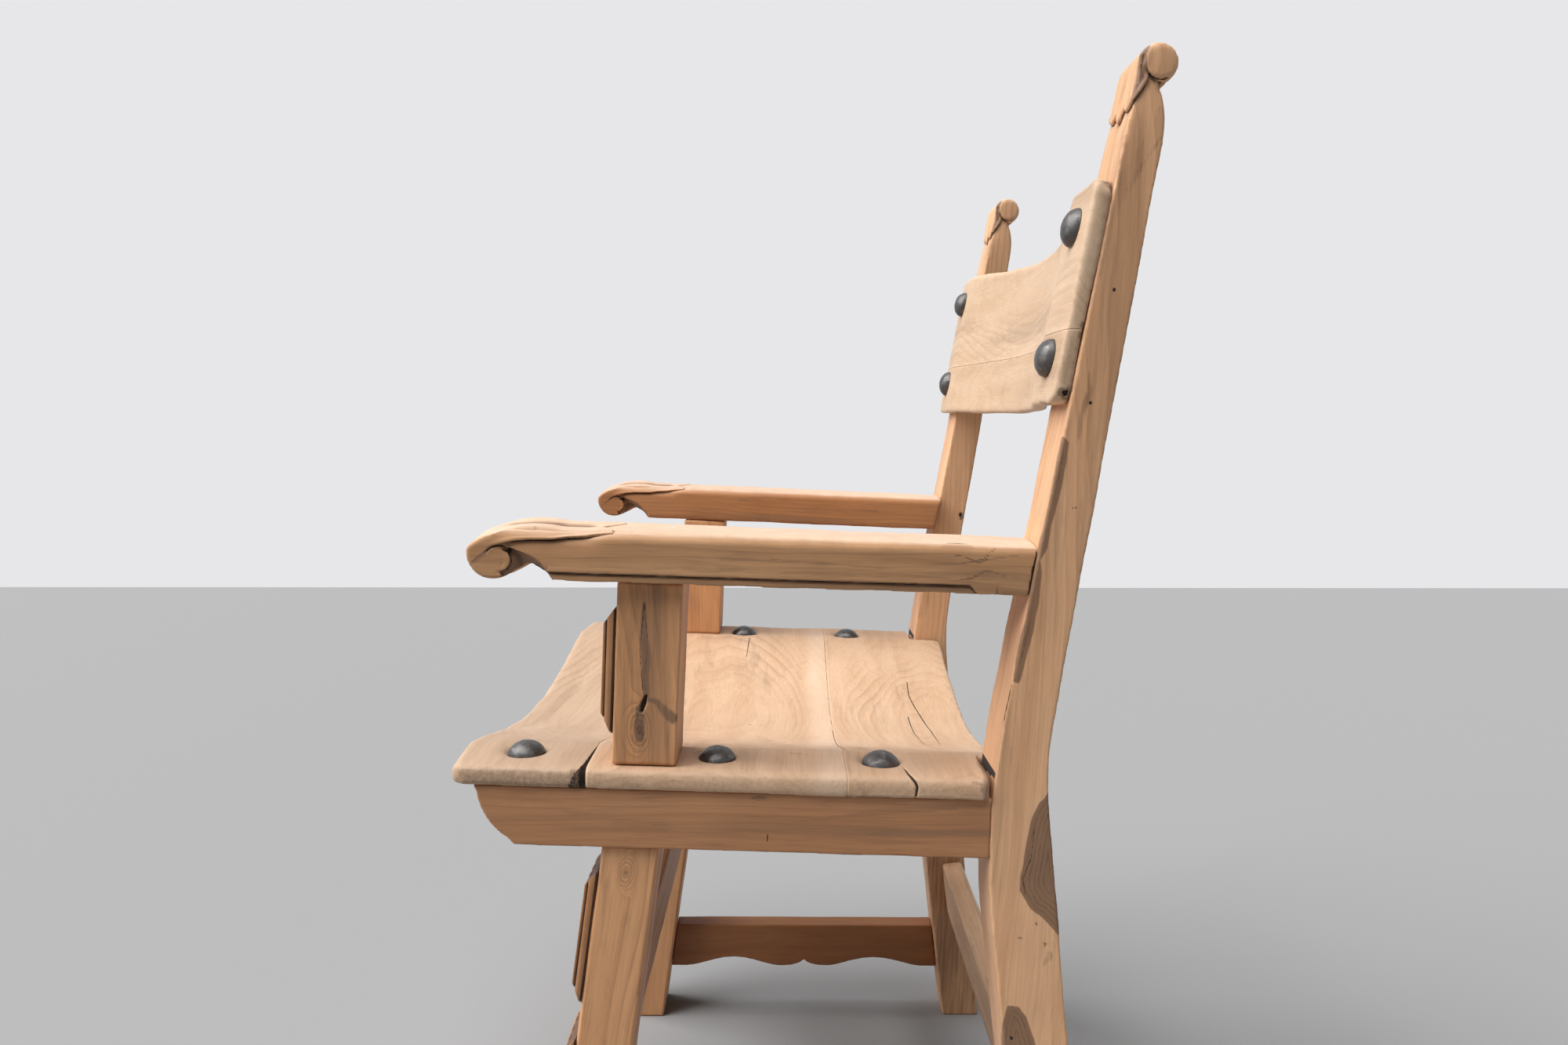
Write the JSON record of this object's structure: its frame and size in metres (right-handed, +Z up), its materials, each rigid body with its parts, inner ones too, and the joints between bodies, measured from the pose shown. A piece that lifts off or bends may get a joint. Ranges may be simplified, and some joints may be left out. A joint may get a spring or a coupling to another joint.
{
  "type": "armchair",
  "caption": "Carved wooden armchair with a dished seat and back, scrolled arms and posts, and domed iron nails, for one person to sit in",
  "frame": {"origin": "on the floor under the middle of the chair", "axes": "+Z up; the chair faces -Y; +X to the sitter's left"},
  "size_m": [0.5936, 0.5335, 1.0195],
  "materials": {
    "pale_wood": "stripped, matt",
    "warm_wood": "stripped, matt",
    "brown_wood": "stripped, matt",
    "old_iron": "worn satin"
  },
  "bodies": {
    "root": {"back_post_left": "warm_wood", "back_post_right": "warm_wood", "front_leg_left": "warm_wood", "front_leg_right": "warm_wood", "side_rail_left": "warm_wood", "side_rail_right": "warm_wood", "arm_support_left": "warm_wood", "arm_support_right": "warm_wood", "arm_left": "warm_wood", "arm_right": "warm_wood", "seat_board_front": "pale_wood", "seat_board_middle": "pale_wood", "seat_board_back": "pale_wood", "back_panel_lower": "pale_wood", "back_panel_upper": "pale_wood", "side_stretcher_left": "brown_wood", "side_stretcher_right": "brown_wood", "front_stretcher": "brown_wood", "back_stretcher": "brown_wood", "support_tablet_left": "brown_wood", "support_tablet_right": "brown_wood", "leg_tablet_upper_left": "brown_wood", "leg_tablet_upper_right": "brown_wood", "leg_tablet_lower_left": "brown_wood", "leg_tablet_lower_right": "brown_wood", "seat_nail_front_left": "old_iron", "seat_nail_front_right": "old_iron", "seat_nail_middle_left": "old_iron", "seat_nail_middle_right": "old_iron", "seat_nail_back_left": "old_iron", "seat_nail_back_right": "old_iron", "panel_nail_lower_left": "old_iron", "panel_nail_lower_right": "old_iron", "panel_nail_upper_left": "old_iron", "panel_nail_upper_right": "old_iron"}
  },
  "joints": []
}
